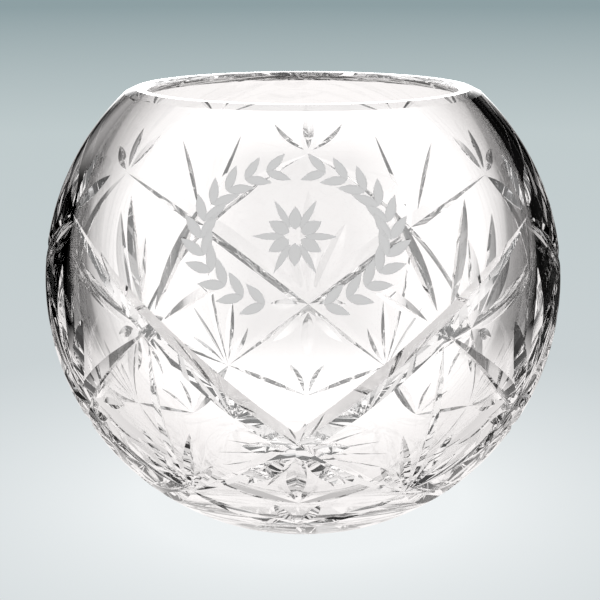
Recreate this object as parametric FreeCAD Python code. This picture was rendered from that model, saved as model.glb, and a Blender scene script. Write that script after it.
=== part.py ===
"""Hand-cut lead crystal rose bowl, in millimetres, +Z up, standing on z = 0.

The bowl is one piece of glass: a ball cut off flat at the mouth and at the foot, with a round
hollow over a thick flat floor. Its outside is cut with mitres, the V-shaped grooves that a wheel
leaves. Long curved mitres, the swags, run down from six tips and cross each other three times,
leaf-shaped mitres fan out from the crossings, and a star is cut in the foot. The sector that faces
-Y has no tip, so a plain panel is left there.

A place on the outside is given by its sector, counted in sixths of a turn from the -Y direction
towards +X, and by its latitude on the ball, in degrees above the belly.
"""

import FreeCAD, Part
import math
import os

# Body
ball_radius = 82.5
mouth_radius = 54.5
foot_radius = 34.5
rim_bevel = 1.5
foot_bevel = 1.0

# Hollow
wall = 7.0
rim_width = 6.6
rim_inner_bevel = 1.1
floor_thickness = 13.0
hollow_heel_radius = 24.0

# Width of each kind of mitre where it is widest
swag_width = 8.0
arm_width = 5.4
fan_width = 4.0
crown_width = 4.4
lobe_width = 7.4
spur_width = 4.6
rib_width = 3.0
sheaf_width = 3.6
petal_width = 6.0
skirt_width = 5.2
hem_width = 4.2
star_width = 3.4
wheel_overrun = 1.8

# Length of each kind of leaf, and how far its root stays from the crossing that it fans out of
fan_long = 33.0
fan_short = 24.0
fan_root = 6.5
crown_length = 17.0
crown_root = 2.6
lobe_long = 42.0
lobe_short = 32.0
lobe_root = 4.5
spur_length = 13.0
spur_root = 2.4
rib_root = 3.2
sheaf_long = 26.0
sheaf_short = 17.0
sheaf_root = 2.6
petal_length = 18.0
petal_root = 3.4
hem_length = 14.0
hem_root = 2.6
star_hub_radius = 3.5
star_edge_margin = 4.0

# Pattern
sectors = 6
plain_sector = 0
star_points = 16
wheel_half_angle = 56.0
overrun_share = 0.03
tip_latitude = 19.7
swag_middle_latitude = -11.7
lower_latitude = -40.0
skirt_latitude = -52.0
swag_reach = 1.5
fan_angles = (19.0, 54.0)
crown_angles = (-42.0, 0.0, 42.0)
lobe_angle = 25.0
sheaf_angles = (19.0, 42.0)
petal_angles = (138.0, 180.0, 222.0)
hem_angle = 24.0

# Sizes that follow from those above
ball_height = math.sqrt(ball_radius ** 2 - foot_radius ** 2)
mouth_height = ball_height + math.sqrt(ball_radius ** 2 - mouth_radius ** 2)
ball_centre = FreeCAD.Vector(0, 0, ball_height)


def outward(sector, latitude):
    """Unit vector from the centre of the ball to a place on it."""
    turn = 2 * math.pi * sector / sectors
    rise = math.radians(latitude)
    flat = math.cos(rise)
    return FreeCAD.Vector(flat * math.sin(turn), -flat * math.cos(turn), math.sin(rise))


def stepped(sector, latitude, angle, distance):
    """Unit vector to the place a distance away over the ball, at an angle from straight up."""
    here = outward(sector, latitude)
    up = outward(sector, latitude + 90)
    side = up.cross(here)
    turn = math.radians(angle)
    sweep = distance / ball_radius
    away = up * math.cos(turn) + side * math.sin(turn)
    return here * math.cos(sweep) + away * math.sin(sweep)


def on_ball(normal):
    """Point of the outside that a unit vector from the centre of the ball points at."""
    return ball_centre + normal * ball_radius


def circle_centre(first, second, third):
    """Centre of the circle through three points."""
    a = second - first
    b = third - first
    cross = a.cross(b)
    lift = (b * a.dot(a) - a * b.dot(b)).cross(cross)
    return first + lift * (1 / (2 * cross.dot(cross)))


def mitre(start, end, middle, normal, width):
    """Cutter of one mitre: a V swept along the arc that dips below the surface between its ends."""
    slope = math.tan(math.radians(wheel_half_angle))
    depth = width / (2 * slope)
    low = middle - normal * depth
    centre = circle_centre(start, low, end)
    first = (start - centre).normalize()
    radius = (start - centre).Length
    axis = first.cross(low - centre).normalize()
    sweep = math.degrees(first.getAngle(low - centre) + (low - centre).getAngle(end - centre))
    spare = sweep * overrun_share
    turned = FreeCAD.Rotation(axis, -spare).multVec(first)
    opens = turned if first.dot(normal) > 0 else turned * -1
    tip = centre + turned * radius
    reach = depth + wheel_overrun
    top = tip + opens * reach
    side = axis.cross(turned).cross(opens) * (reach * slope)
    section = Part.Face(Part.makePolygon([tip, top + side, top - side, tip]))
    return section.revolve(centre, axis, sweep + 2 * spare)


def mitre_over_ball(start, end, width):
    """Cutter of the straightest mitre between two places, deepest half-way."""
    normal = (start + end).normalize()
    return mitre(on_ball(start), on_ball(end), on_ball(normal), normal, width)


def leaf(sector, latitude, angle, root, length, width):
    """Cutter of a leaf that fans out of a crossing at an angle from straight up."""
    start = stepped(sector, latitude, angle, root)
    end = stepped(sector, latitude, angle, root + length)
    return mitre_over_ball(start, end, width)


def swag_places(tip, side):
    """Unit vectors to the start, the middle and the end of a swag."""
    start = outward(tip, tip_latitude)
    middle = outward(tip + side * swag_reach / 2, swag_middle_latitude)
    end = outward(tip + side * swag_reach, lower_latitude)
    return start, middle, end


def swag(tip, side):
    """Long mitre from a tip down through two crossings to the lower crossing."""
    start, middle, end = swag_places(tip, side)
    return mitre(on_ball(start), on_ball(end), on_ball(middle), middle, swag_width)


def crossing_latitude(distance):
    """Latitude of a swag at a distance in sectors from its tip."""
    start, middle, end = swag_places(0, 1)
    normal = (middle - start).cross(end - start).normalize()
    flat = normal.dot(outward(distance, 0))
    lean = math.atan2(normal.z, flat)
    return math.degrees(lean - math.acos(normal.dot(start) / math.hypot(flat, normal.z)))


upper_latitude = crossing_latitude(swag_reach / 3)
middle_latitude = crossing_latitude(2 * swag_reach / 3)


def arm(side):
    """Mitre beside the plain sector that runs from the upper crossing to the lower one."""
    start = outward(plain_sector + side * swag_reach / 3, upper_latitude)
    middle = outward(plain_sector + side * 2 * swag_reach / 3, middle_latitude)
    end = outward(plain_sector + side * swag_reach, lower_latitude)
    return mitre(on_ball(start), on_ball(end), on_ball(middle), middle, arm_width)


def leaves(sectors_cut, latitude, angle, root, length, width):
    """Cutters of one leaf at the same crossing of several sectors."""
    return [leaf(sector, latitude, angle, root, length, width) for sector in sectors_cut]


def tip_rings(tips):
    """Swags of every tip, their crowns of leaves, and the three lobes in the space below."""
    rings = [[swag(tip, side) for tip in tips] for side in (-1, 1)]
    for angle in crown_angles:
        rings.append(leaves(tips, tip_latitude, angle, crown_root, crown_length, crown_width))
    for angle in (-lobe_angle, lobe_angle):
        rings.append(leaves(tips, middle_latitude, angle, lobe_root, lobe_short, lobe_width))
    rings.append(leaves(tips, middle_latitude, 0, lobe_root, lobe_long, lobe_width))
    return rings


def middle_rings(middles):
    """Spurs and petals round the middle crossings, and the skirt with its hem under them."""
    rings = []
    for angle in (-90, 90):
        rings.append(leaves(middles, middle_latitude, angle, spur_root, spur_length, spur_width))
    for angle in petal_angles:
        rings.append(leaves(middles, middle_latitude, angle, petal_root, petal_length, petal_width))
    for side in (-1, 1):
        ring = []
        for sector in middles:
            start = outward(sector + side * swag_reach / 3, lower_latitude)
            ring.append(mitre_over_ball(start, outward(sector, skirt_latitude), skirt_width))
        rings.append(ring)
    for angle in (-hem_angle, hem_angle):
        rings.append(leaves(middles, skirt_latitude, angle, hem_root, hem_length, hem_width))
    return rings


def upper_rings(uppers):
    """Fans above the upper crossings, the ribs below them, and the sheaves that meet the ribs."""
    rings = []
    for angle, length in zip(fan_angles, (fan_long, fan_short)):
        for side in (-1, 1):
            rings.append(leaves(uppers, upper_latitude, side * angle, fan_root, length, fan_width))
    for angle, length in zip(sheaf_angles, (sheaf_long, sheaf_short)):
        for side in (-1, 1):
            place = side * angle
            rings.append(leaves(uppers, lower_latitude, place, sheaf_root, length, sheaf_width))
    ring = []
    for sector in uppers:
        top = stepped(sector, upper_latitude, 180, rib_root)
        ring.append(mitre_over_ball(top, outward(sector, lower_latitude), rib_width))
    rings.append(ring)
    return rings


def foot_star():
    """Mitres of the star in the underside, each from its hub to near the edge of the foot."""
    cuts = []
    down = FreeCAD.Vector(0, 0, -1)
    for index in range(star_points):
        out = outward(sectors * index / star_points, 0)
        start = out * star_hub_radius
        end = out * (foot_radius - star_edge_margin)
        cuts.append(mitre(start, end, (start + end) * 0.5, down, star_width))
    return cuts


def pattern():
    """Cutters of the outside, ring by ring, so that no two cutters of a ring cross."""
    middles = list(range(sectors))
    tips = [sector for sector in middles if sector != plain_sector]
    uppers = [sector + swag_reach / 3 for sector in middles]
    star = foot_star()
    rings = tip_rings(tips) + [[arm(-1)], [arm(1)]]
    rings += middle_rings(middles) + upper_rings(uppers)
    return rings + [star[0::2], star[1::2]]


def arc_between(centre_radius, centre_height, radius, low_height, high_height):
    """Profile arc about a centre, right of it, between two heights."""
    angles = [math.asin((h - centre_height) / radius) for h in (low_height, high_height)]
    points = []
    for angle in (angles[0], sum(angles) / 2, angles[1]):
        rise = centre_height + radius * math.sin(angle)
        points.append(FreeCAD.Vector(centre_radius + radius * math.cos(angle), 0, rise))
    return Part.Arc(*points).toShape()


def turned_solid(edges):
    """Solid of revolution of a closed profile."""
    face = Part.Face(Part.Wire(edges))
    return face.revolve(FreeCAD.Vector(0, 0, 0), FreeCAD.Vector(0, 0, 1), 360)


def joined(points):
    """Straight edges from point to point."""
    return [Part.makeLine(p, q) for p, q in zip(points, points[1:])]


def body():
    """Ball with its flat mouth and foot, both bevelled, and no hollow."""
    side = arc_between(0, ball_height, ball_radius, foot_bevel, mouth_height - rim_bevel)
    corners = [
        side.Vertexes[-1].Point,
        FreeCAD.Vector(mouth_radius - rim_bevel, 0, mouth_height),
        FreeCAD.Vector(0, 0, mouth_height),
        FreeCAD.Vector(0, 0, 0),
        FreeCAD.Vector(foot_radius - foot_bevel, 0, 0),
        side.Vertexes[0].Point,
    ]
    return turned_solid([side] + joined(corners))


def hollow():
    """Inside of the bowl, up through the mouth, with the bevel of the inner rim edge."""
    radius = ball_radius - wall
    opening = mouth_radius - rim_width
    height = mouth_height - math.sqrt(radius ** 2 - opening ** 2)
    heel_height = floor_thickness + hollow_heel_radius
    heel_gap = radius - hollow_heel_radius
    heel_offset = math.sqrt(heel_gap ** 2 - (height - heel_height) ** 2)
    join = height + (heel_height - height) * radius / heel_gap
    edge_height = mouth_height - rim_inner_bevel
    side = arc_between(0, height, radius, join, edge_height)
    heel = arc_between(heel_offset, heel_height, hollow_heel_radius, floor_thickness, join)
    edge = side.Vertexes[-1].Point
    corners = [
        edge,
        FreeCAD.Vector(edge.x + rim_inner_bevel, 0, mouth_height),
        FreeCAD.Vector(0, 0, mouth_height),
        FreeCAD.Vector(0, 0, floor_thickness),
        heel.Vertexes[0].Point,
    ]
    return turned_solid([heel, side] + joined(corners))


def crystal_bowl():
    """The whole bowl."""
    bowl = body().cut(hollow())
    for ring in pattern():
        bowl = bowl.cut(ring)
    return bowl


def main():
    """Write the bowl."""
    os.makedirs("parts", exist_ok=True)
    shape = crystal_bowl()
    print("solids", len(shape.Solids), "faces", len(shape.Faces), "valid", shape.isValid())
    print("height", round(mouth_height, 2), "volume in cubic centimetres", round(shape.Volume / 1000, 1))
    shape.exportStep("parts/crystal_bowl.step")


main()
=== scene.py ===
"""Finished cut crystal rose bowl: polished glass, a frosted wreath on its plain panel, and a studio.

Sizes inside the functions are in millimetres, +Z up, with the bowl standing on z = 0 and its plain
panel towards -Y. A place on the outside is given by its sector, counted in sixths of a turn from -Y
towards +X, and by its latitude on the ball in degrees above the belly.
"""

import bpy
import numpy as np
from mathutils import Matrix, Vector


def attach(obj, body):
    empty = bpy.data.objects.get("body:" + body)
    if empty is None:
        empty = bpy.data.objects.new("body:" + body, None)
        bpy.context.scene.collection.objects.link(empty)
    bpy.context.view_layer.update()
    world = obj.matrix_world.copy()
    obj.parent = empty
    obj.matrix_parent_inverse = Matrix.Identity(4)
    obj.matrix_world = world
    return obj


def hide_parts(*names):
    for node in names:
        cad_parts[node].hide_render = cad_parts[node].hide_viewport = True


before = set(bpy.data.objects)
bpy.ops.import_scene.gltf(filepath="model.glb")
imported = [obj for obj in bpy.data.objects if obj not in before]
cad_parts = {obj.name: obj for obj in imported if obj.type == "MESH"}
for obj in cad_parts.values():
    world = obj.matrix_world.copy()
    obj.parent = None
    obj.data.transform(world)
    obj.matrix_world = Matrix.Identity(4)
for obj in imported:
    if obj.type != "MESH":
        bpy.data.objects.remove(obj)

bl_info = {
    "name": "Cut crystal rose bowl",
    "version": (1, 0, 0),
    "blender": (4, 5, 0),
    "location": "3D View > Sidebar > Rose Bowl",
    "description": "Makes a wheel-cut crystal rose bowl with a frosted wreath, and a plain studio",
    "category": "Add Mesh",
}

MM = 0.001
SECTORS = 6

# Surface numbers that the faces carry through the cutting
FOOT, FOOT_BEVEL, OUTSIDE, RIM_BEVEL, RIM, RIM_INNER_BEVEL, INSIDE, HEEL, FLOOR = range(9)
CUTTER_BACK = 9
FIRST_MITRE = 10


# Arithmetic shared by the pieces

def unit(vectors):
    """Vectors divided by their lengths."""
    vectors = np.asarray(vectors, float)
    return vectors / np.linalg.norm(vectors, axis=-1, keepdims=True)


def outward(sector, latitude):
    """Unit vector from the ball's centre: cos(latitude) along the heading of the sector, sin(latitude) up."""
    turn, rise = np.radians(360.0 / SECTORS * sector), np.radians(latitude)
    return np.array([np.cos(rise) * np.sin(turn), -np.cos(rise) * np.cos(turn), np.sin(rise)])


def stepped(sector, latitude, angle, sweep):
    """Place on the unit ball after a walk: here times cos(sweep) plus the heading times sin(sweep).

    The heading is up times cos(angle) plus right times sin(angle), so 0 degrees walks straight up.
    Angle and sweep may be arrays.
    """
    here, up = outward(sector, latitude), outward(sector, latitude + 90)
    right = np.cross(up, here)
    angle, sweep = np.radians(angle)[..., None], np.asarray(sweep, float)[..., None]
    return here * np.cos(sweep) + (up * np.cos(angle) + right * np.sin(angle)) * np.sin(sweep)


def angle_between(a, b):
    """Angle between two unit vectors, in radians."""
    return float(np.arccos(np.clip(a @ b, -1, 1)))


def circle_centre(first, second, third):
    """Centre of the circle through three points, from the cross product of its two chords."""
    a, b = second - first, third - first
    cross = np.cross(a, b)
    return first + np.cross(b * (a @ a) - a * (b @ b), cross) / (2 * cross @ cross)


def new_mesh(name, points, blocks, marks=None):
    """Mesh of an array of points and blocks of faces, each block an array of rows of point numbers."""
    corners = np.concatenate([block.ravel() for block in blocks]).astype(np.int32)
    counts = np.concatenate([np.full(len(block), block.shape[1]) for block in blocks])
    mesh = bpy.data.meshes.new(name)
    mesh.vertices.add(len(points))
    mesh.vertices.foreach_set("co", np.ascontiguousarray(points, np.float32).ravel())
    mesh.loops.add(len(corners))
    mesh.loops.foreach_set("vertex_index", corners)
    mesh.polygons.add(len(counts))
    mesh.polygons.foreach_set("loop_start", (np.cumsum(counts) - counts).astype(np.int32))
    mesh.update(calc_edges=True)
    if marks is not None:
        layer = mesh.attributes.new("surface", "INT", "FACE")
        layer.data.foreach_set("value", np.concatenate(marks).astype(np.int32))
    return mesh


def new_object(name, mesh):
    """Object at the origin that shows a mesh."""
    piece = bpy.data.objects.new(name, mesh)
    bpy.context.scene.collection.objects.link(piece)
    return piece


# Settings that a user would change

def length(name, description, default):
    """Setting that holds a length in metres."""
    return bpy.props.FloatProperty(
        name=name, description=description, default=default, min=0.0, unit="LENGTH", subtype="DISTANCE",
        precision=4)


def colour(name, description, default):
    """Setting that holds a colour."""
    return bpy.props.FloatVectorProperty(
        name=name, description=description, default=default, size=3, min=0.0, max=1.0, subtype="COLOR")


class BowlBodySettings(bpy.types.PropertyGroup):
    """Sizes of the uncut bowl."""

    ball_radius: length("Ball radius", "Radius of the outside", 0.0825)
    mouth_radius: length("Mouth radius", "Outer radius of the flat rim", 0.0545)
    foot_radius: length("Foot radius", "Radius of the flat foot", 0.0345)
    rim_bevel: length("Rim bevel", "Height of the outer bevel of the rim", 0.0015)
    rim_inner_bevel: length("Inner rim bevel", "Height of the inner bevel of the rim", 0.0011)
    foot_bevel: length("Foot bevel", "Height of the bevel round the foot", 0.001)
    wall: length("Wall", "Thickness of the wall", 0.007)
    rim_width: length("Rim width", "Width of the wall where it meets the rim", 0.0066)
    floor_thickness: length("Floor", "Thickness of the floor inside", 0.013)
    heel_radius: length("Heel", "Radius of the curve between the wall and the floor inside", 0.024)
    turns: bpy.props.IntProperty(
        name="Facets round", description="Mesh faces in one turn of the bowl", default=264, min=48)


class BowlCutSettings(bpy.types.PropertyGroup):
    """Widths and angles of the cut pattern."""

    swag_width: length("Swag width", "Width of the long crossing mitres", 0.008)
    arm_width: length("Arm width", "Width of the mitres beside the plain panel", 0.0054)
    fan_width: length("Fan width", "Width of the fan leaves", 0.004)
    crown_width: length("Crown width", "Width of the leaves above the tips", 0.0044)
    lobe_width: length("Lobe width", "Width of the three large leaves between the swags", 0.0074)
    spur_width: length("Spur width", "Width of the short cuts beside the middle crossings", 0.0046)
    petal_width: length("Petal width", "Width of the leaves below the middle crossings", 0.006)
    skirt_width: length("Skirt width", "Width of the lowest zigzag of mitres", 0.0052)
    hem_width: length("Hem width", "Width of the leaves on the lowest points", 0.0042)
    sheaf_width: length("Sheaf width", "Width of the leaves above the lower crossings", 0.0036)
    rib_width: length("Rib width", "Width of the upright mitres", 0.003)
    star_width: length("Star width", "Width of the mitres of the star in the foot", 0.0034)
    half_angle: bpy.props.FloatProperty(
        name="Wheel half angle", description="Half of the angle between the flanks of a mitre",
        default=np.radians(56.0), min=0.5, max=1.4, subtype="ANGLE", unit="ROTATION")


class BowlFrostSettings(bpy.types.PropertyGroup):
    """Sizes and colour of the frosted wreath."""

    latitude: bpy.props.FloatProperty(
        name="Latitude", description="Height of the wreath's centre on the ball",
        default=np.radians(20.5), subtype="ANGLE", unit="ROTATION")
    half_width: length("Half width", "Half of the wreath's width", 0.0265)
    half_height: length("Half height", "Half of the wreath's height", 0.0195)
    leaf: length("Leaf", "Length of a leaf", 0.0088)
    film: length("Film", "Thickness of the frosted film", 0.00004)
    tone: colour("Frost", "Colour of the frosted glass", (0.70, 0.70, 0.70))


class BowlStageSettings(bpy.types.PropertyGroup):
    """Camera, floor and light."""

    lens: bpy.props.FloatProperty(
        name="Lens", description="Focal length on a 36 mm sensor, in millimetres", default=91.8, min=10.0)
    distance: length("Distance", "From the camera to the middle of the ball", 0.497)
    azimuth: bpy.props.FloatProperty(
        name="Azimuth", description="Turn of the camera round the bowl", default=np.radians(1.6),
        subtype="ANGLE", unit="ROTATION")
    elevation: bpy.props.FloatProperty(
        name="Elevation", description="Angle that the camera looks down at", default=np.radians(12.73),
        subtype="ANGLE", unit="ROTATION")
    tent_radius: length("Tent", "Radius of the light tent", 0.13)
    # Near, middle, outer and far are painted light on the glowing floor: a painted pool of light, palest by
    # the bowl and darker with distance
    near: colour("Near", "Floor by the bowl", (0.86, 0.89, 0.90))
    middle: colour("Middle", "Floor further out", (0.60, 0.65, 0.665))
    outer: colour("Outer", "Floor behind the bowl", (0.53, 0.60, 0.61))
    far: colour("Far", "Floor in the distance", (0.27, 0.35, 0.37))


# Crystal bowl

# Steps of the outline in degrees: on the ball, in the hollow and on the heel
OUTSIDE_STEP, INSIDE_STEP, HEEL_STEP = 1.3, 1.6, 4.0


def arc(centre_radius, centre_height, radius, low, high, step):
    """Points (centre + radius cos a, centre + radius sin a), with the angle a even between two heights."""
    ends = np.arcsin((np.array([low, high]) - centre_height) / radius)
    count = max(2, int(np.ceil(abs(ends[1] - ends[0]) / np.radians(step))))
    angle = np.linspace(ends[0], ends[1], count + 1)
    return np.stack([centre_radius + radius * np.cos(angle), centre_height + radius * np.sin(angle)], 1)


class Body:
    """Outline of the uncut bowl in millimetres, from the body settings."""

    def __init__(self, s):
        self.radius = s.ball_radius / MM
        mouth, foot = s.mouth_radius / MM, s.foot_radius / MM
        self.height = np.sqrt(self.radius ** 2 - foot ** 2)
        self.top = self.height + np.sqrt(self.radius ** 2 - mouth ** 2)
        self.centre = np.array([0, 0, self.height])
        self.inner_radius = (s.ball_radius - s.wall) / MM
        opening = (s.mouth_radius - s.rim_width) / MM
        self.inner_height = self.top - np.sqrt(self.inner_radius ** 2 - opening ** 2)
        floor, self.heel_radius = s.floor_thickness / MM, s.heel_radius / MM
        self.heel_height = floor + self.heel_radius
        gap = self.inner_radius - self.heel_radius
        self.heel_offset = np.sqrt(gap ** 2 - (self.inner_height - self.heel_height) ** 2)
        join = self.inner_height + (self.heel_height - self.inner_height) * self.inner_radius / gap
        foot_bevel, rim_bevel = s.foot_bevel / MM, s.rim_bevel / MM
        inner_bevel = s.rim_inner_bevel / MM
        outside = arc(0, self.height, self.radius, foot_bevel, self.top - rim_bevel, OUTSIDE_STEP)
        inside = arc(0, self.inner_height, self.inner_radius, self.top - inner_bevel, join, INSIDE_STEP)
        heel = arc(self.heel_offset, self.heel_height, self.heel_radius, join, floor, HEEL_STEP)
        rows = [
            (FOOT, [[0, 0], [foot - foot_bevel, 0]]),
            (FOOT_BEVEL, outside[:1]),
            (OUTSIDE, outside[1:]),
            (RIM_BEVEL, [[mouth - rim_bevel, self.top]]),
            (RIM, [[inside[0, 0] + inner_bevel, self.top]]),
            (RIM_INNER_BEVEL, inside[:1]),
            (INSIDE, inside[1:]),
            (HEEL, heel[1:]),
            (FLOOR, [[0, floor]]),
        ]
        self.profile = np.concatenate([np.array(points, float) for _, points in rows])
        self.marks = np.concatenate([np.full(len(points), mark) for mark, points in rows])[1:]
        steps = np.diff(self.profile, axis=0)
        faced = unit(np.stack([steps[:, 1], -steps[:, 0]], 1))
        self.slopes = np.zeros((FIRST_MITRE, 2))
        self.slopes[self.marks] = faced


def turned_mesh(name, profile, marks, turns):
    """Surface of revolution: point (radius cos t, radius sin t, height) for each profile point and turn t.

    The first and the last profile point lie on the axis and become one point each.
    """
    turn = np.linspace(0, 2 * np.pi, turns, endpoint=False)
    ring = np.stack([np.cos(turn), np.sin(turn)], 1)
    inner = profile[1:-1]
    grid = np.concatenate([
        (inner[:, None, :1] * ring[None]),
        np.broadcast_to(inner[:, None, 1:], (len(inner), turns, 1)),
    ], 2).reshape(-1, 3)
    points = np.concatenate([grid, [[0, 0, profile[0, 1]], [0, 0, profile[-1, 1]]]])
    first, last = len(grid), len(grid) + 1
    here = np.arange(turns)
    there = (here + 1) % turns
    rows = np.arange(len(inner) - 1)[:, None] * turns
    quads = np.stack([rows + here, rows + there, rows + turns + there, rows + turns + here], 2)
    top = (len(inner) - 1) * turns
    caps = [
        np.stack([np.full(turns, first), there, here], 1),
        np.stack([np.full(turns, last), top + here, top + there], 1),
    ]
    blocks = [caps[0], quads.reshape(-1, 4), caps[1]]
    spread = [np.full(turns, marks[0]), np.repeat(marks[1:-1], turns), np.full(turns, marks[-1])]
    return new_mesh(name, points, blocks, spread)


class Mitres:
    """All the V cuts of the bowl, ring by ring, as swept triangles.

    Each cut is a triangle carried round the circle through its two ends and its low point, which lies
    half the width over the tangent of the half angle below the surface. Its tip runs on the circle:
    tip(t) = centre + radius * (first cos t + second sin t), and its flanks open away from the glass.
    """

    # How far the triangle stands out of the glass, and the share of the cut that it runs on at each end
    overrun, overrun_share = 1.8, 0.03
    # Length of one step along a cut, and the fewest and most steps
    step, fewest, most = 1.6, 14, 60

    def __init__(self, body, half_angle):
        self.body = body
        self.half_angle = half_angle
        self.rings = []
        self.centres, self.axes, self.signs = [], [], []

    def on_ball(self, place):
        """Point of the outside at a unit vector from the ball's centre."""
        return self.body.centre + place * self.body.radius

    def cut(self, start, end, middle, normal, width):
        """Points and faces of one swept triangle, numbered from zero."""
        slope = np.tan(self.half_angle)
        depth = width / (2 * slope)
        low = middle - normal * depth
        centre = circle_centre(start, low, end)
        first, dip, last = unit(start - centre), unit(low - centre), unit(end - centre)
        radius = np.linalg.norm(start - centre)
        axis = unit(np.cross(first, dip))
        sweep = angle_between(first, dip) + angle_between(dip, last)
        spare = sweep * self.overrun_share
        count = int(np.clip(sweep * radius / self.step, self.fewest, self.most))
        t = np.linspace(-spare, sweep + spare, count + 1)[:, None]
        radial = first * np.cos(t) + np.cross(axis, first) * np.sin(t)
        sign = 1.0 if first @ normal > 0 else -1.0
        reach = depth + self.overrun
        tip = centre + radial * radius
        top = tip + radial * (sign * reach)
        side = -sign * axis * (reach * slope)
        self.centres.append(centre)
        self.axes.append(axis)
        self.signs.append(sign)
        number = FIRST_MITRE + 2 * (len(self.signs) - 1)
        here = np.arange(count)
        t0, a0, b0 = here, here + count + 1, here + 2 * (count + 1)
        strips = [np.stack(corners, 1) for corners in (
            (t0, t0 + 1, a0 + 1, a0), (b0, b0 + 1, t0 + 1, t0), (a0, a0 + 1, b0 + 1, b0))]
        end_t, end_a, end_b = count, 2 * count + 1, 3 * count + 2
        caps = np.array([[0, count + 1, 2 * (count + 1)], [end_t, end_b, end_a]])
        marks = [np.full(count, m) for m in (number, number + 1, CUTTER_BACK)] + [np.full(2, CUTTER_BACK)]
        return np.concatenate([tip, top + side, top - side]), np.concatenate(strips), caps, marks

    def over_ball(self, start, end, width):
        """Straightest cut between two places, deepest half-way."""
        normal = unit(start + end)
        return self.cut(self.on_ball(start), self.on_ball(end), self.on_ball(normal), normal, width)

    def leaf(self, sector, latitude, angle, gap, length_, width):
        """Leaf-shaped cut that fans out of a crossing at an angle from straight up."""
        near, far = stepped(sector, latitude, np.array([angle, angle]),
                            np.array([gap, gap + length_]) / self.body.radius)
        return self.over_ball(near, far, width)

    def through(self, places, width):
        """Cut through three places on the ball, deepest at the middle one."""
        start, middle, end = places
        return self.cut(self.on_ball(start), self.on_ball(end), self.on_ball(middle), middle, width)

    def ring(self, cuts):
        """Keep one ring of cuts that don't cross each other."""
        self.rings.append(cuts)

    def leaves(self, sectors, latitude, family, width):
        """One ring for each leaf of a family, with the same leaf in every sector."""
        gap, rows = family
        for angle, length_ in rows:
            self.ring([self.leaf(sector, latitude, angle, gap, length_, width) for sector in sectors])

    def mesh(self, index):
        """One mesh with the swept triangles of a ring."""
        points, quads, caps, marks, start = [], [], [], [[], []], 0
        for cut_points, cut_quads, cut_caps, cut_marks in self.rings[index]:
            points.append(cut_points)
            quads.append(cut_quads + start)
            caps.append(cut_caps + start)
            marks[0] += cut_marks[:3]
            marks[1].append(cut_marks[3])
            start += len(cut_points)
        blocks = [np.concatenate(quads), np.concatenate(caps)]
        return new_mesh("cutter", np.concatenate(points), blocks, marks[0] + marks[1])


# Latitudes of the start, the middle and the end of a swag, and of the lowest points of the zigzag
TIP, MIDDLE, LOWER, SKIRT = 19.7, -11.7, -40.0, -52.0
# Sectors that a swag runs to one side, and the sector of the plain panel
REACH = 1.5
PLAIN = 0
# Families of leaves: gap to their crossing, then an angle from straight up and a length for each leaf
CROWN = (2.6, ((-42, 17), (0, 17), (42, 17)))
LOBES = (4.5, ((-25, 32), (25, 32), (0, 42)))
SPURS = (2.4, ((-90, 13), (90, 13)))
PETALS = (3.4, ((138, 18), (180, 18), (222, 18)))
HEM = (2.6, ((-24, 14), (24, 14)))
FAN = (6.5, ((-19, 33), (19, 33), (-54, 24), (54, 24)))
SHEAF = (2.6, ((-19, 26), (19, 26), (-42, 17), (42, 17)))
# Gap between an upright mitre and the crossing above it
RIB_GAP = 3.2
# Rays of the star in the foot, the radius that it leaves plain in the middle, and its margin to the edge
STAR_RAYS, STAR_HUB, STAR_MARGIN = 16, 3.5, 3.0


def swag_places(tip, side):
    """Start, middle and end of a swag, down from a tip by three half sectors to one side."""
    return outward(tip, TIP), outward(tip + side * REACH / 2, MIDDLE), outward(tip + side * REACH, LOWER)


def crossing_latitude(distance):
    """Latitude at which the plane of a swag passes a meridian a distance in sectors from its tip."""
    start, middle, end = swag_places(0, 1)
    normal = unit(np.cross(middle - start, end - start))
    flat = normal @ outward(distance, 0)
    lean = np.arctan2(normal[2], flat)
    return float(np.degrees(lean - np.arccos((normal @ start) / np.hypot(flat, normal[2]))))


def cut_pattern(body, s):
    """The whole pattern, in the order in which the wheel makes it."""
    mitres = Mitres(body, s.half_angle)
    middles = list(range(SECTORS))
    tips = [sector for sector in middles if sector != PLAIN]
    uppers = [sector + REACH / 3 for sector in middles]
    upper, middle = crossing_latitude(REACH / 3), crossing_latitude(2 * REACH / 3)

    for side in (-1, 1):
        mitres.ring([mitres.through(swag_places(tip, side), s.swag_width / MM) for tip in tips])
    mitres.leaves(tips, TIP, CROWN, s.crown_width / MM)
    mitres.leaves(tips, middle, LOBES, s.lobe_width / MM)
    for side in (-1, 1):
        places = [outward(PLAIN + side * REACH * share, latitude)
                  for share, latitude in ((1 / 3, upper), (2 / 3, middle), (1, LOWER))]
        mitres.ring([mitres.through(places, s.arm_width / MM)])

    mitres.leaves(middles, middle, SPURS, s.spur_width / MM)
    mitres.leaves(middles, middle, PETALS, s.petal_width / MM)
    for side in (-1, 1):
        mitres.ring([mitres.over_ball(outward(sector + side * REACH / 3, LOWER), outward(sector, SKIRT),
                                      s.skirt_width / MM) for sector in middles])
    mitres.leaves(middles, SKIRT, HEM, s.hem_width / MM)

    mitres.leaves(uppers, upper, FAN, s.fan_width / MM)
    mitres.leaves(uppers, LOWER, SHEAF, s.sheaf_width / MM)
    below = RIB_GAP / body.radius
    mitres.ring([mitres.over_ball(stepped(sector, upper, np.array(180.0), below), outward(sector, LOWER),
                                  s.rib_width / MM) for sector in uppers])
    star = []
    foot = body.profile[1, 0]
    for index in range(STAR_RAYS):
        out = outward(SECTORS * index / STAR_RAYS, 0)
        near, far = out * STAR_HUB, out * (foot - STAR_MARGIN)
        star.append(mitres.cut(near, far, (near + far) / 2, np.array([0, 0, -1.0]), s.star_width / MM))
    mitres.ring(star[0::2])
    mitres.ring(star[1::2])
    return mitres


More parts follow.
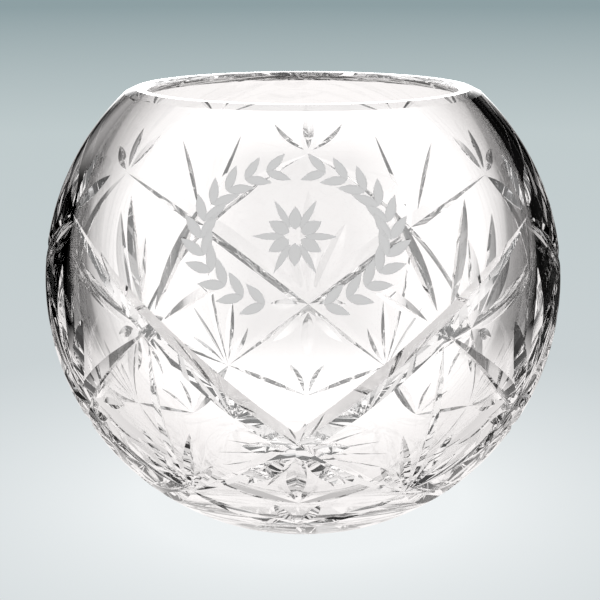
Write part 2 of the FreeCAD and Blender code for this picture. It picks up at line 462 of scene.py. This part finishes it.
def carved(name, body_mesh, cutters):
    """Body mesh with each ring of cutters taken away in turn."""
    block = new_object(name, body_mesh)
    tools = [new_object("cutter", mesh) for mesh in cutters]
    for tool in tools:
        step = block.modifiers.new("mitres", "BOOLEAN")
        step.operation, step.solver, step.object = "DIFFERENCE", "MANIFOLD", tool
    bpy.context.view_layer.update()
    ready = block.evaluated_get(bpy.context.evaluated_depsgraph_get())
    mesh = bpy.data.meshes.new_from_object(ready)
    for item in [block] + tools:
        used = item.data
        bpy.data.objects.remove(item)
        bpy.data.meshes.remove(used)
    mesh.name = name
    return mesh


def true_normals(mesh, body, mitres):
    """Exact normal of each face corner, from the surface that its face lies on.

    Ball and hollow: along the radius. Heel: towards the ring through its centres. Flats and bevels:
    the slope of the outline, turned with the point. Flanks of a mitre: the opening direction times
    sin(half angle), less the sideways direction times cos(half angle).
    """
    count = len(mesh.loops)
    points = np.empty(len(mesh.vertices) * 3)
    mesh.vertices.foreach_get("co", points)
    corners = np.empty(count, np.int32)
    mesh.loops.foreach_get("vertex_index", corners)
    totals = np.empty(len(mesh.polygons), np.int32)
    mesh.polygons.foreach_get("loop_total", totals)
    marks = np.empty(len(mesh.polygons), np.int32)
    mesh.attributes["surface"].data.foreach_get("value", marks)
    flat = np.empty(len(mesh.polygons) * 3)
    mesh.polygons.foreach_get("normal", flat)
    p = points.reshape(-1, 3)[corners]
    mark = np.repeat(marks, totals)
    normals = np.repeat(flat.reshape(-1, 3), totals, 0)

    out = np.concatenate([p[:, :2], np.zeros((count, 1))], 1)
    out /= np.maximum(np.linalg.norm(out, axis=1, keepdims=True), 1e-9)
    plain = mark < CUTTER_BACK
    slope = body.slopes[np.minimum(mark, CUTTER_BACK)]
    normals[plain] = (out * slope[:, :1] + np.array([0, 0, 1.0]) * slope[:, 1:])[plain]
    on = mark == OUTSIDE
    normals[on] = unit(p[on] - body.centre)
    on = mark == INSIDE
    normals[on] = unit(np.array([0, 0, body.inner_height]) - p[on])
    on = mark == HEEL
    normals[on] = unit(out[on] * body.heel_offset + np.array([0, 0, body.heel_height]) - p[on])

    on = mark >= FIRST_MITRE
    index = (mark[on] - FIRST_MITRE) // 2
    flank = 1.0 - 2.0 * ((mark[on] - FIRST_MITRE) % 2)
    axis, sign = np.array(mitres.axes)[index], np.array(mitres.signs)[index]
    arm = p[on] - np.array(mitres.centres)[index]
    arm -= axis * np.sum(arm * axis, 1, keepdims=True)
    opens = unit(arm) * sign[:, None]
    side = -sign[:, None] * axis
    normals[on] = opens * np.sin(mitres.half_angle) - side * (flank * np.cos(mitres.half_angle))[:, None]
    return normals


class ROSEBOWL_OT_glass(bpy.types.Operator):
    """Turn the bowl, cut its pattern ring by ring and polish it"""

    bl_idname = "rose_bowl.glass"
    bl_label = "Crystal bowl"
    bl_options = {"REGISTER", "UNDO"}

    def execute(self, context):
        settings = context.scene.rose_bowl_body
        body = Body(settings)
        mitres = cut_pattern(body, context.scene.rose_bowl_cuts)
        turned = turned_mesh("crystal_glass", body.profile, body.marks, settings.turns)
        mesh = carved("crystal_glass", turned, [mitres.mesh(i) for i in range(len(mitres.rings))])
        normals = true_normals(mesh, body, mitres)
        mesh.transform(((MM, 0, 0, 0), (0, MM, 0, 0), (0, 0, MM, 0), (0, 0, 0, 1)))
        mesh.attributes.remove(mesh.attributes["surface"])
        mesh.polygons.foreach_set("use_smooth", np.ones(len(mesh.polygons), bool))
        mesh.normals_split_custom_set(normals.tolist())
        mesh.materials.clear()
        mesh.materials.append(crystal_material())
        piece = new_object("crystal_glass", mesh)
        piece.visible_shadow = False
        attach(piece, "root")
        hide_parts("crystal_bowl")
        return {"FINISHED"}


# Frosted wreath

# Places of the leaves up one side of the wreath, as shares of the way, and how far a leaf leans out
WREATH_STEPS = np.linspace(0.10, 0.90, 11)
WREATH_LEAN = 34
# Place of the longest leaves, how fast the others get shorter from there, and a leaf's width to its length
LONGEST_STEP, LEAF_TAPER, LEAF_WIDTH_SHARE = 0.45, 0.35, 0.36
# Petals of the blossom: heading of the first, then distance from the middle, length and width
BLOSSOM_PETALS = 6
BLOSSOM = ((90.0, 1.9, 6.4, 3.7), (120.0, 2.6, 9.0, 2.0))
# Share of the film that its underside keeps from the glass
FILM_GAP_SHARE = 0.25


def leaf_patch(length_, width, rows=14, columns=4):
    """Flat leaf: x = s * length, y = t * width / 2 * sin(pi s^0.8)^0.9, with s in 0..1 and t in -1..1."""
    s, t = np.meshgrid(np.linspace(0, 1, rows + 1), np.linspace(-1, 1, columns + 1), indexing="ij")
    half = width / 2 * np.sin(np.pi * np.clip(s, 0.004, 0.996) ** 0.8) ** 0.9
    return np.stack([s * length_, t * half], 2)


def frosted_layout(s):
    """Place, heading, length and width of each leaf of the wreath and of the blossom inside it."""
    wide, high, leaf = s.half_width / MM, s.half_height / MM, s.leaf / MM
    rows = []
    for side in (-1, 1):
        for step in WREATH_STEPS:
            turn = np.pi * step
            spot = np.array([side * wide * np.sin(turn), -high * np.cos(turn)])
            along = np.degrees(np.arctan2(high * np.sin(turn), side * wide * np.cos(turn)))
            size = leaf * (1.0 - LEAF_TAPER * abs(step - LONGEST_STEP))
            for lean in (-WREATH_LEAN, WREATH_LEAN):
                rows.append((spot[0], spot[1], along + lean, size, size * LEAF_WIDTH_SHARE))
    for first, away, length_, width in BLOSSOM:
        for heading in np.arange(BLOSSOM_PETALS) * 360.0 / BLOSSOM_PETALS + first:
            start = away * np.array([np.cos(np.radians(heading)), np.sin(np.radians(heading))])
            rows.append((start[0], start[1], heading, length_, width))
    return rows


def frosted_mesh(body, s):
    """Every leaf laid on the ball: a flat point (x, y) goes its own distance over it, on its heading."""
    points, quads, start = [], [], 0
    latitude = np.degrees(s.latitude)
    for x, y, heading, length_, width in frosted_layout(s):
        patch = leaf_patch(length_, width)
        turn = np.radians(heading)
        flat_x = x + patch[..., 0] * np.cos(turn) - patch[..., 1] * np.sin(turn)
        flat_y = y + patch[..., 0] * np.sin(turn) + patch[..., 1] * np.cos(turn)
        sweep = np.hypot(flat_x, flat_y) / body.radius
        place = stepped(PLAIN, latitude, np.degrees(np.arctan2(flat_x, flat_y)), sweep)
        film = s.film / MM
        rows, columns = patch.shape[:2]
        grid = np.arange(rows * columns).reshape(rows, columns)
        for lift in (film, film * FILM_GAP_SHARE):
            points.append((body.centre + place * (body.radius + lift)).reshape(-1, 3))
        under = grid + rows * columns
        front = np.stack([grid[:-1, :-1], grid[:-1, 1:], grid[1:, 1:], grid[1:, :-1]], 2).reshape(-1, 4)
        back = front[:, ::-1] + rows * columns
        edge = np.concatenate([grid[:-1, 0], grid[-1, :-1], grid[:0:-1, -1], grid[0, :0:-1]])
        lower = np.concatenate([under[:-1, 0], under[-1, :-1], under[:0:-1, -1], under[0, :0:-1]])
        wall = np.stack([edge, np.roll(edge, -1), np.roll(lower, -1), lower], 1)
        quads.append(np.concatenate([front, back, wall[:, ::-1]]) + start)
        start += 2 * rows * columns
    return new_mesh("frosted_wreath", np.concatenate(points) * MM, [np.concatenate(quads)])


class ROSEBOWL_OT_wreath(bpy.types.Operator):
    """Lay the frosted wreath of leaves on the plain panel"""

    bl_idname = "rose_bowl.wreath"
    bl_label = "Frosted wreath"
    bl_options = {"REGISTER", "UNDO"}

    def execute(self, context):
        settings = context.scene.rose_bowl_frost
        mesh = frosted_mesh(Body(context.scene.rose_bowl_body), settings)
        mesh.materials.append(frost_material(settings.tone))
        piece = new_object("frosted_wreath", mesh)
        piece.visible_shadow = False
        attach(piece, "root")
        return {"FINISHED"}


# Materials

# Colour sockets of a mix node, whose names its number sockets have too
MIX_FIRST, MIX_SECOND, MIX_RESULT = 6, 7, 2
# Levels of the noise between which the cloudy patches and the dust come in, and the colour of the patches
PATCH_LEVELS, DUST_LEVELS = (0.45, 0.75), (0.72, 0.80)
CLEAR, PATCH_TINT = (1.0, 1.0, 1.0, 1.0), (0.99, 0.985, 0.985, 1.0)
# Strength and height in metres of the polishing waves and of the frosted grain
WAVE_BUMP, GRAIN_BUMP = (0.04, 0.0004), (0.25, 0.00005)
# Frosted glass: scales of its specks and its grain, how much lighter the specks are, and its roughness
SPECK_SCALE, GRAIN_SCALE = 5200.0, 4200.0
SPECK_LIGHTER = 1.18
FROST_ROUGHNESS = (0.62, 0.82)


def add_node(tree, kind, place, **values):
    """Node at a place in a tree, with its plain properties set."""
    node = tree.nodes.new(kind)
    node.location = place
    for key, value in values.items():
        setattr(node, key, value)
    return node


def feed(tree, socket, value):
    """Link a socket to another one, or set it to a plain value."""
    if isinstance(value, bpy.types.NodeSocket):
        tree.links.new(value, socket)
    else:
        socket.default_value = value


def calculated(tree, kind, operation, place, *values):
    """Node that works out an operation of its inputs, which are fed in order."""
    node = add_node(tree, kind, place, operation=operation)
    for socket, value in zip(node.inputs, values):
        feed(tree, socket, value)
    return node


def mapped(tree, place, value, start, end, low=0.0, high=1.0, **more):
    """Value brought from the range start..end to the range low..high."""
    node = add_node(tree, "ShaderNodeMapRange", place, **more)
    names = ("Value", "From Min", "From Max", "To Min", "To Max")
    for name, number in zip(names, (value, start, end, low, high)):
        feed(tree, node.inputs[name], number)
    return node.outputs["Result"]


def mixed(tree, place, share, first, second):
    """Colour that goes from the first to the second as the share rises."""
    node = add_node(tree, "ShaderNodeMix", place, data_type="RGBA")
    feed(tree, node.inputs["Factor"], share)
    feed(tree, node.inputs[MIX_FIRST], first)
    feed(tree, node.inputs[MIX_SECOND], second)
    return node.outputs[MIX_RESULT]


def noise(tree, place, vector, scale, detail=2.0):
    """Noise at a scale, read at the vector."""
    node = add_node(tree, "ShaderNodeTexNoise", place)
    feed(tree, node.inputs["Vector"], vector)
    feed(tree, node.inputs["Scale"], scale)
    feed(tree, node.inputs["Detail"], detail)
    return node.outputs["Fac"]


def bumped(tree, shader, height, strength, distance):
    """Give a shader the normal of a height map."""
    bump = add_node(tree, "ShaderNodeBump", (100, -250))
    bump.inputs["Strength"].default_value = strength
    bump.inputs["Distance"].default_value = distance
    tree.links.new(height, bump.inputs["Height"])
    tree.links.new(bump.outputs["Normal"], shader.inputs["Normal"])


def polish_group():
    """Shader group of the marks that hand polishing leaves: cloudy patches, faint waves and a little dust."""
    group = bpy.data.node_groups.new("Polish Marks", "ShaderNodeTree")
    group.interface.new_socket(name="Vector", in_out="INPUT", socket_type="NodeSocketVector")
    for name, scale in (("Patch Scale", 60.0), ("Wave Scale", 30.0), ("Dust Scale", 900.0)):
        made = group.interface.new_socket(name=name, in_out="INPUT", socket_type="NodeSocketFloat")
        made.default_value = scale
    for name, kind in (
            ("Waves", "NodeSocketFloat"), ("Dust", "NodeSocketFloat"), ("Tint", "NodeSocketColor")):
        group.interface.new_socket(name=name, in_out="OUTPUT", socket_type=kind)
    source = add_node(group, "NodeGroupInput", (-900, 0)).outputs
    target = add_node(group, "NodeGroupOutput", (700, 0)).inputs
    patches = noise(group, (-600, 300), source["Vector"], source["Patch Scale"], 3.0)
    waves = noise(group, (-600, 0), source["Vector"], source["Wave Scale"], 1.0)
    dust = noise(group, (-600, -300), source["Vector"], source["Dust Scale"])
    cloudy = mapped(group, (-300, 300), patches, *PATCH_LEVELS)
    specks = mapped(group, (-300, -300), dust, *DUST_LEVELS)
    feed(group, target["Waves"], waves)
    feed(group, target["Dust"], specks)
    feed(group, target["Tint"], mixed(group, (0, -100), cloudy, CLEAR, PATCH_TINT))
    return group


def shared_polish_group():
    """The polish group, built the first time it is asked for."""
    return bpy.data.node_groups.get("Polish Marks") or polish_group()


def new_material(name):
    """Node material with its Principled shader, its object coordinates and the polish group."""
    material = bpy.data.materials.new(name)
    material.use_nodes = True
    tree = material.node_tree
    shader = tree.nodes["Principled BSDF"]
    shader.location = (400, 0)
    place = add_node(tree, "ShaderNodeTexCoord", (-700, 0)).outputs["Object"]
    polish = add_node(tree, "ShaderNodeGroup", (-400, 0))
    polish.node_tree = shared_polish_group()
    tree.links.new(place, polish.inputs["Vector"])
    return material, shader, place, polish


def crystal_material():
    """Clear polished lead crystal: heavy glass with hardly visible polishing waves and cloudy patches."""
    material, shader, _, polish = new_material("Lead crystal")
    shader.inputs["Transmission Weight"].default_value = 1.0
    shader.inputs["Metallic"].default_value = 0.0
    shader.inputs["IOR"].default_value = 1.545
    shader.inputs["Roughness"].default_value = 0.0
    material.node_tree.links.new(polish.outputs["Tint"], shader.inputs["Base Color"])
    bumped(material.node_tree, shader, polish.outputs["Waves"], *WAVE_BUMP)
    return material


def frost_material(tone):
    """Sand-frosted glass: pale grey with a fine grain, softly mottled."""
    material, shader, place, polish = new_material("Frosted crystal")
    tree = material.node_tree
    polish.inputs["Dust Scale"].default_value = SPECK_SCALE
    lighter = (*(min(1.0, channel * SPECK_LIGHTER) for channel in tone), 1.0)
    mottled = mixed(tree, (0, 150), polish.outputs["Dust"], (*tone, 1.0), lighter)
    grain = noise(tree, (-400, -320), place, GRAIN_SCALE)
    feed(tree, shader.inputs["Base Color"], mottled)
    feed(tree, shader.inputs["Roughness"], mapped(tree, (0, -100), grain, 0.0, 1.0, *FROST_ROUGHNESS))
    bumped(tree, shader, grain, *GRAIN_BUMP)
    return material


# Stage

# Shift of the view in pixels of a square frame, right and up
FRAME_PIXELS = 600
SHIFT_PIXELS = (-3.0, -22.6)
# Radius of the innermost ring of the floor in metres, and how much wider each further one is
FLOOR_START, FLOOR_GROWTH = 0.03, 1.25
# The floor's painted light goes by doublings of a metre from the bowl: a painted pool of light, palest by the
# bowl and darker further out. The places of its tones are shares of this range
FLOOR_DOUBLINGS = (-5.0, 3.0)
LIGHT_POOL_SHARES = (0.10, 0.335, 0.62, 0.85)
BACKDROP = (0.30, 0.37, 0.39, 1.0)
# How often light may bounce before it is dropped
BOUNCES = {"max_bounces": 12, "transmission_bounces": 32, "glossy_bounces": 16}


def make_camera(s):
    """Camera at distance * (sin a cos e, -cos a cos e, sin e) from the middle of the ball, aimed at it."""
    a, e = s.azimuth, s.elevation
    back = Vector((np.sin(a) * np.cos(e), -np.cos(a) * np.cos(e), np.sin(e)))
    body = Body(bpy.context.scene.rose_bowl_body)
    data = bpy.data.cameras.new("camera")
    data.sensor_width = 36.0
    data.lens = s.lens
    data.shift_x, data.shift_y = (pixels / FRAME_PIXELS for pixels in SHIFT_PIXELS)
    data.clip_start, data.clip_end = 0.01, 100.0
    camera = bpy.data.objects.new("camera", data)
    bpy.context.scene.collection.objects.link(camera)
    camera.location = Vector(tuple(body.centre * MM)) + back * s.distance
    camera.rotation_mode = "QUATERNION"
    camera.rotation_quaternion = (-back).to_track_quat("-Z", "Y")
    bpy.context.scene.camera = camera


def floor_mesh():
    """Flat disc: rings at radius start * growth^n, joined to one point in the middle."""
    turns, rings = 96, 32
    turn = np.linspace(0, 2 * np.pi, turns, endpoint=False)
    radius = FLOOR_START * FLOOR_GROWTH ** np.arange(rings)
    grid = np.stack([np.outer(radius, np.cos(turn)), np.outer(radius, np.sin(turn)),
                     np.zeros((rings, turns))], 2).reshape(-1, 3)
    points = np.concatenate([grid, [[0, 0, 0]]])
    here = np.arange(turns)
    there = (here + 1) % turns
    rows = np.arange(rings - 1)[:, None] * turns
    quads = np.stack([rows + turns + here, rows + turns + there, rows + there, rows + here], 2)
    middle = np.stack([np.full(turns, len(grid)), here, there], 1)
    return new_mesh("floor", points, [quads.reshape(-1, 4), middle])


def set_stops(ramp, stops):
    """Give a colour ramp stops at ascending places, each with its colour."""
    elements = ramp.color_ramp.elements
    elements[0].position, elements[1].position = stops[0][0], stops[-1][0]
    for place, _ in stops[1:-1]:
        elements.new(place)
    for element, (_, tone) in zip(elements, stops):
        element.color = (*tone, 1.0)


def glowing_material(name):
    """Material that only glows, with its tree, its glow and the object coordinates."""
    material = bpy.data.materials.new(name)
    material.use_nodes = True
    tree = material.node_tree
    tree.nodes.clear()
    glow = add_node(tree, "ShaderNodeEmission", (1400, 0))
    out = add_node(tree, "ShaderNodeOutputMaterial", (1600, 0))
    tree.links.new(glow.outputs["Emission"], out.inputs["Surface"])
    return material, tree, glow, add_node(tree, "ShaderNodeTexCoord", (-900, 0)).outputs["Object"]


def floor_light_pool_material(s):
    """Pale paper floor whose glow is painted light: a painted pool of light, palest by the bowl, that falls
    off evenly with the distance from it.
    """
    material, tree, glow, place = glowing_material("Studio floor painted light")
    away = calculated(tree, "ShaderNodeVectorMath", "LENGTH", (-400, 0), place)
    doublings = calculated(tree, "ShaderNodeMath", "LOGARITHM", (-200, 0), away.outputs["Value"], 2.0)
    ramp = add_node(tree, "ShaderNodeValToRGB", (200, 0))
    set_stops(ramp, list(zip(LIGHT_POOL_SHARES, (s.near, s.middle, s.outer, s.far))))
    feed(tree, ramp.inputs["Fac"], mapped(tree, (0, 0), doublings.outputs["Value"], *FLOOR_DOUBLINGS))
    feed(tree, glow.inputs["Color"], ramp.outputs["Color"])
    return material


def light_tent(s):
    """Closed tent round the bowl that turns with the camera, as the light does at a turntable.

    Points of a ball: radius * (cos h sin a, sin h, -cos h cos a), with the azimuth a from the viewing
    direction to the right and the height h above it, both seen from the middle of the tent.
    """
    turns, rows = 72, 36
    radius = s.tent_radius
    a = np.linspace(0, 2 * np.pi, turns, endpoint=False)
    h = np.linspace(-np.pi / 2, np.pi / 2, rows + 1)[1:-1]
    grid = radius * np.stack([np.outer(np.cos(h), np.sin(a)), np.outer(np.sin(h), np.ones(turns)),
                              -np.outer(np.cos(h), np.cos(a))], 2).reshape(-1, 3)
    points = np.concatenate([grid, [[0, -radius, 0], [0, radius, 0]]])
    here = np.arange(turns)
    there = (here + 1) % turns
    level = np.arange(rows - 2)[:, None] * turns
    quads = np.stack([level + here, level + there, level + turns + there, level + turns + here], 2)
    last = (rows - 2) * turns
    low = np.stack([np.full(turns, len(grid)), there, here], 1)
    high = np.stack([np.full(turns, len(grid) + 1), last + here, last + there], 1)
    tent = new_object("light_tent", new_mesh("light_tent", points, [low, quads.reshape(-1, 4), high]))
    tent.data.polygons.foreach_set("use_smooth", np.ones(len(tent.data.polygons), bool))
    tent.data.materials.append(tent_material())
    tent.location = tuple(Body(bpy.context.scene.rose_bowl_body).centre * MM)
    follow = tent.constraints.new("COPY_ROTATION")
    follow.target = bpy.context.scene.camera
    tent.visible_camera = tent.visible_shadow = False


# Brightness round the tent, in degrees to the right of the viewing direction: a bright window behind
# the bowl with black cloth beside it, the same higher up, and the bright floor
WINDOW_LEFT = (
    (-53.5, 0.10), (-51.5, 0.5), (-48.7, 0.63), (-46.7, 0.71), (-43.5, 0.8), (-40.8, 0.87), (-36, 0.93),
)
WINDOW_RIGHT = (
    (36, 0.93), (40.5, 0.88), (43, 0.82), (45.3, 0.72), (46.6, 0.55), (47.8, 0.3), (50.3, 0.23),
    (53.3, 0.17), (54.6, 0.13),
)
TENT_SIDE = (
    (-178, 0.3), (-104, 0.3), (-90, 0.0), (-57, 0.0), *WINDOW_LEFT, (-25, 0.94), (-10, 0.72),
    (10, 0.72), (25, 0.94), *WINDOW_RIGHT, (55.6, 0.01), (90, 0.0), (104, 0.3), (178, 0.3),
)
TENT_HIGH = (
    (-178, 0.02), (-90, 0.02), (-74, 0.3), (-67, 0.48), (-64, 0.3), (-61, 0.02), (-57, 0.0), *WINDOW_LEFT,
    (-28, 0.94), (28, 0.94), *WINDOW_RIGHT, (55.6, 0.01), (58, 0.0), (178, 0.02),
)
TENT_LOW = (
    (-178, 0.5), (-130, 0.55), (-90, 0.75), (-60, 0.9), (-35, 0.98),
    (35, 0.98), (60, 0.9), (90, 0.75), (130, 0.55), (178, 0.5),
)
TENT_ROOF = 0.5
TENT_TINT = (1.0, 0.972, 0.962)
TENT_STRENGTH = 1.06
# Level that the frosted film gets from every side
EVEN_LEVEL = 0.9
# Shares of the side, high and roof levels, in degrees above the viewing direction
SIDE_SHARE = ((-24, 0.0), (-15, 1.0))
HIGH_SHARE = ((20, 0.0), (27, 1.0))
ROOF_SHARE = ((46, 0.0), (60, 1.0))
# Soft lights that only the outside mirrors: turn and rise in degrees, cosines of the angles at which the
# light starts and is full, and strength. One hangs over the camera, one behind the bowl for the flat rim
SOFT_LIGHTS = ((180, 12, 0.26, 0.74, 4.4), (0, 49, 0.75, 0.9, 3.0))


def level_ramps(tree, value, tables, top, tint=(1.0, 1.0, 1.0)):
    """Colours of ramps that read the same value, one for each table of places and levels."""
    colours = []
    for row, table in enumerate(tables):
        ramp = add_node(tree, "ShaderNodeValToRGB", (300, top - 250 * row))
        set_stops(ramp, [(place, [level * channel for channel in tint]) for place, level in table])
        feed(tree, ramp.inputs["Fac"], value)
        colours.append(ramp.outputs["Color"])
    return colours


def soft_lights(tree, direction, path):
    """Soft lights in their directions, for mirrored rays that haven't been inside the glass."""
    lights = []
    for row, (turned, rise, start, full, strength) in enumerate(SOFT_LIGHTS):
        a, h = np.radians(turned), np.radians(rise)
        towards = (np.cos(h) * np.sin(a), np.sin(h), -np.cos(h) * np.cos(a))
        level = 700 + 250 * row
        facing = calculated(tree, "ShaderNodeVectorMath", "DOT_PRODUCT", (-300, level), direction, towards)
        lights.append(mapped(tree, (-100, level), facing.outputs["Value"], start, full, high=strength,
                             interpolation_type="SMOOTHSTEP"))
    both = calculated(tree, "ShaderNodeMath", "ADD", (100, 700), *lights)
    outside = calculated(tree, "ShaderNodeMath", "LESS_THAN", (800, 600), path["Transmission Depth"], 0.5)
    mirrored = calculated(tree, "ShaderNodeMath", "MULTIPLY", (950, 600), outside.outputs["Value"],
                          path["Is Singular Ray"])
    sheen = calculated(tree, "ShaderNodeMath", "MULTIPLY", (1100, 600), mirrored.outputs["Value"],
                       both.outputs["Value"])
    return sheen.outputs["Value"]


def tent_material():
    """Tent cloth: a bright window behind the bowl, dark cloth beside it, a bright floor and soft lights.

    The azimuth is the arctangent of x over -z, and the height is y, all of the direction from the middle.
    """
    material, tree, glow, place = glowing_material("Light tent")
    glow.inputs["Strength"].default_value = TENT_STRENGTH
    direction = calculated(tree, "ShaderNodeVectorMath", "NORMALIZE", (-700, 0), place).outputs["Vector"]
    parts = add_node(tree, "ShaderNodeSeparateXYZ", (-500, 0))
    feed(tree, parts.inputs["Vector"], direction)
    back = calculated(tree, "ShaderNodeMath", "MULTIPLY", (-300, 200), parts.outputs["Z"], -1.0)
    azimuth = calculated(tree, "ShaderNodeMath", "ARCTAN2", (-100, 100), parts.outputs["X"],
                         back.outputs["Value"])
    turns = [[((degrees + 180.0) / 360.0, level) for degrees, level in belt]
             for belt in (TENT_SIDE, TENT_HIGH, TENT_LOW)]
    rises = [[((np.sin(np.radians(degrees)) + 1) / 2, level) for degrees, level in share]
             for share in (SIDE_SHARE, HIGH_SHARE, ROOF_SHARE)]
    turn = mapped(tree, (100, 100), azimuth.outputs["Value"], -np.pi, np.pi)
    rise = mapped(tree, (100, -200), parts.outputs["Y"], -1.0, 1.0)
    side, high, low = level_ramps(tree, turn, turns, 450, TENT_TINT)
    side_share, high_share, roof_share = level_ramps(tree, rise, rises, -300)
    walls = mixed(tree, (600, 100), high_share, side, high)
    belts = mixed(tree, (750, 0), side_share, low, walls)
    cloth = mixed(tree, (900, -100), roof_share, belts, (TENT_ROOF, TENT_ROOF, TENT_ROOF, 1.0))
    path = add_node(tree, "ShaderNodeLightPath", (600, 600)).outputs
    seen = mixed(tree, (1050, 0), path["Is Diffuse Ray"], cloth, (EVEN_LEVEL, EVEN_LEVEL, EVEN_LEVEL, 1.0))
    sheen = soft_lights(tree, direction, path)
    total = calculated(tree, "ShaderNodeVectorMath", "ADD", (1200, 200), seen, sheen)
    feed(tree, glow.inputs["Color"], total.outputs["Vector"])
    return material


def studio_world():
    """Plain pale backdrop beyond the floor."""
    world = bpy.data.worlds.new("Studio")
    world.use_nodes = True
    background = world.node_tree.nodes["Background"]
    background.inputs["Color"].default_value = BACKDROP
    bpy.context.scene.world = world


class ROSEBOWL_OT_stage(bpy.types.Operator):
    """Set up the camera, the pale floor with its painted pool of light, and the studio light"""

    bl_idname = "rose_bowl.stage"
    bl_label = "Studio"
    bl_options = {"REGISTER", "UNDO"}

    def execute(self, context):
        settings = context.scene.rose_bowl_stage
        make_camera(settings)
        floor = new_object("floor", floor_mesh())
        # The floor only glows, and its brightness is a painted pool of light that only the camera sees
        floor.data.materials.append(floor_light_pool_material(settings))
        floor.visible_transmission = floor.visible_glossy = floor.visible_diffuse = False
        light_tent(settings)
        studio_world()
        context.scene.view_settings.view_transform = "Standard"
        for name, count in BOUNCES.items():
            setattr(context.scene.cycles, name, count)
        return {"FINISHED"}


class ROSEBOWL_PT_panel(bpy.types.Panel):
    """Lists the settings and the pieces of the bowl."""

    bl_idname = "ROSEBOWL_PT_panel"
    bl_label = "Rose Bowl"
    bl_space_type = "VIEW_3D"
    bl_region_type = "UI"
    bl_category = "Rose Bowl"

    def draw(self, context):
        scene = context.scene
        for title, group, operator in (
                ("Bowl", scene.rose_bowl_body, None), ("Cuts", scene.rose_bowl_cuts, "rose_bowl.glass"),
                ("Wreath", scene.rose_bowl_frost, "rose_bowl.wreath"),
                ("Studio", scene.rose_bowl_stage, "rose_bowl.stage")):
            box = self.layout.box()
            box.label(text=title)
            for name in group.__annotations__:
                box.prop(group, name)
            if operator:
                box.operator(operator)


SETTINGS = {
    "rose_bowl_body": BowlBodySettings,
    "rose_bowl_cuts": BowlCutSettings,
    "rose_bowl_frost": BowlFrostSettings,
    "rose_bowl_stage": BowlStageSettings,
}
CLASSES = (*SETTINGS.values(), ROSEBOWL_OT_glass, ROSEBOWL_OT_wreath, ROSEBOWL_OT_stage, ROSEBOWL_PT_panel)


def register():
    """Make the settings, the operators and the panel known to Blender."""
    for cls in CLASSES:
        bpy.utils.register_class(cls)
    for name, cls in SETTINGS.items():
        setattr(bpy.types.Scene, name, bpy.props.PointerProperty(type=cls))


def unregister():
    """Take them out again."""
    for name in SETTINGS:
        delattr(bpy.types.Scene, name)
    for cls in reversed(CLASSES):
        bpy.utils.unregister_class(cls)


def main():
    """Make every piece in order."""
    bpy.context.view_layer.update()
    register()
    bpy.ops.rose_bowl.glass()
    bpy.ops.rose_bowl.wreath()
    bpy.ops.rose_bowl.stage()


if __name__ == "__main__":
    main()
